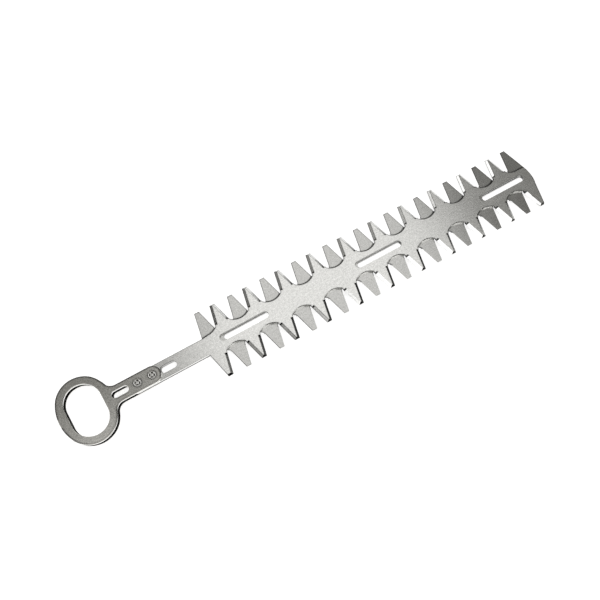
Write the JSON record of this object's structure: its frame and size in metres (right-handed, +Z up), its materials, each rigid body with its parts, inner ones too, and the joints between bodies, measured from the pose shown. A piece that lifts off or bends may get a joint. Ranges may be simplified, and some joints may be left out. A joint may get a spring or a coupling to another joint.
{
  "type": "hedge trimmer blade",
  "caption": "Double-sided hedge trimmer blade set: flat toothed steel blades face to face, each with ground teeth, guide slots and a riveted oval drive eye.",
  "frame": {"origin": "middle of the set's length and width, at the underside of the lower drive eye", "axes": "+X along the blades from the drive eyes to the nose, +Y to the edge where the upper blade has one tooth fewer, +Z up through the stack"},
  "size_m": [0.5158, 0.0708, 0.0092],
  "materials": {
    "blade_steel": "satin, finely ground",
    "eye_steel": "satin, as stamped",
    "rivet_steel": "satin, formed"
  },
  "bodies": {
    "root": {"upper_blade": "blade_steel", "lower_blade": "blade_steel", "upper_drive_eye": "eye_steel", "lower_drive_eye": "eye_steel", "upper_rivets": "rivet_steel", "lower_rivets": "rivet_steel"}
  },
  "joints": []
}
